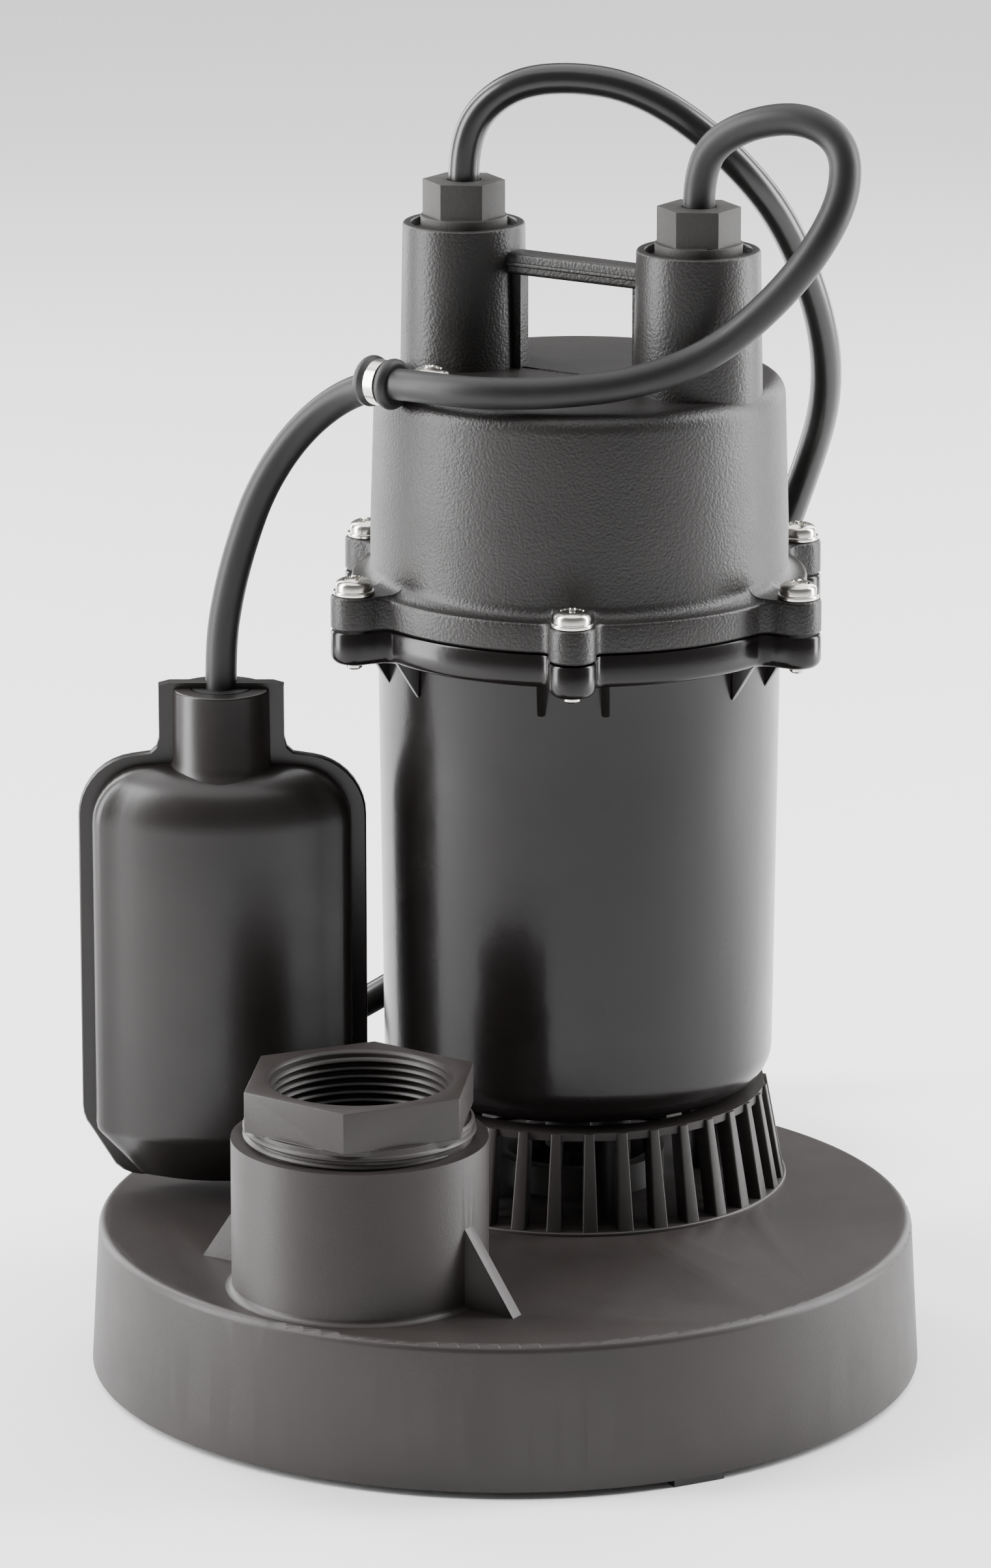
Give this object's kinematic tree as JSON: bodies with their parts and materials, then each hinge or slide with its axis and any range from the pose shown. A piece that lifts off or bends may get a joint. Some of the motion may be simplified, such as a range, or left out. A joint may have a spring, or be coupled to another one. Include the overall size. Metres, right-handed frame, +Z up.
{
  "type": "submersible sump pump",
  "caption": "Submersible sump pump with a round volute base, hex discharge adapter, slatted intake, motor housing, bar-handled cap, tethered float switch and coiled power cord",
  "frame": {"origin": "centre of the round base's footprint, on the plane of its feet", "axes": "+Z up, +Y from the discharge to the motor, +X along the line of the two cord glands, from the power cord's to the float cord's"},
  "size_m": [0.2474, 0.3523, 0.3502],
  "materials": {
    "base_plastic": "moulded glass-filled plastic, fine matt grain",
    "painted_metal": "black baked coat, orange-peel to leather grain, semi-gloss",
    "gland_plastic": "moulded plastic, grainy matt",
    "rubber": "black rubber",
    "float_cable": "matt rubber sheath",
    "power_cable": "glossy flexible vinyl sheath",
    "stainless": "polished stainless steel",
    "core_steel": "bare steel",
    "aluminium": "cast aluminium",
    "bracket_iron": "machined cast iron",
    "ceramic": "lapped seal face",
    "copper": "enamelled winding",
    "float_plastic": "black moulded plastic, semi-gloss",
    "switch_plastic": "grey moulded plastic",
    "brass": "plated brass blades"
  },
  "bodies": {
    "pump": {"base_shell": "base_plastic", "bottom_plate": "base_plastic", "bottom_plate_screws": "stainless", "capacitor": "aluminium", "clip_band": "stainless", "clip_rubber": "rubber", "clip_screw": "stainless", "discharge_adapter": "base_plastic", "flange_screws": "stainless", "flange_seal": "rubber", "flange_washers": "stainless", "float_cord_loop": "float_cable", "float_cord_stub": "float_cable", "float_gland_grommet": "rubber", "float_gland_nut": "gland_plastic", "float_tether": "float_cable", "foot_pads": "rubber", "housing_screws": "stainless", "intake_screen": "base_plastic", "lower_bearing_outer": "core_steel", "lower_bracket": "bracket_iron", "lower_winding": "copper", "motor_housing": "painted_metal", "plug_blades": "brass", "plug_body": "power_cable", "power_cord": "power_cable", "power_cord_coil": "power_cable", "power_cord_stub": "power_cable", "power_cord_tail": "power_cable", "power_gland_grommet": "rubber", "power_gland_nut": "gland_plastic", "seal_seat": "ceramic", "stator_core": "core_steel", "thermal_cutout": "switch_plastic", "top_cap": "painted_metal", "upper_bearing_outer": "core_steel", "upper_bracket": "bracket_iron", "upper_winding": "copper", "volute_gasket": "rubber"},
    "rotor": {"shaft": "stainless", "impeller": "base_plastic", "impeller_nut": "stainless", "rotor_core": "core_steel", "lower_rotor_end_ring": "aluminium", "upper_rotor_end_ring": "aluminium", "seal_face": "ceramic", "seal_bellows": "rubber", "lower_bearing_inner": "core_steel", "upper_bearing_inner": "core_steel"},
    "bearing_balls": {"lower_bearing_balls": "core_steel", "upper_bearing_balls": "core_steel"},
    "float": {"float_front_shell": "float_plastic", "float_back_shell": "float_plastic", "float_grommet": "rubber", "float_cord_end": "float_cable", "switch_body": "switch_plastic", "switch_plunger": "switch_plastic", "ball_guide": "switch_plastic", "ballast": "core_steel"},
    "switch_ball": {"switch_ball": "core_steel"}
  },
  "joints": [
    {"name": "rotor_spin", "type": "hinge", "parent": "pump", "child": "rotor", "pos_m": [-0.002, 0.0412, 0.1], "axis": [0, 0, 1], "continuous": true},
    {"name": "balls_roll", "type": "hinge", "parent": "pump", "child": "bearing_balls", "pos_m": [-0.002, 0.0412, 0.1], "axis": [0, 0, 1], "continuous": true},
    {"name": "float_swing", "type": "hinge", "parent": "pump", "child": "float", "pos_m": [-0.03955, -0.0098, 0.2688], "axis": [-0.3405, 0.9402, 0], "range_deg": [0, 110], "deforming": ["float_tether"]},
    {"name": "ball_slide", "type": "slide", "parent": "float", "child": "switch_ball", "axis": [0, 0, 1], "range_m": [0, 0.0155]}
  ],
  "couplings": [
    {"joint": "balls_roll", "follows": "rotor_spin", "ratio": 0.376}
  ]
}
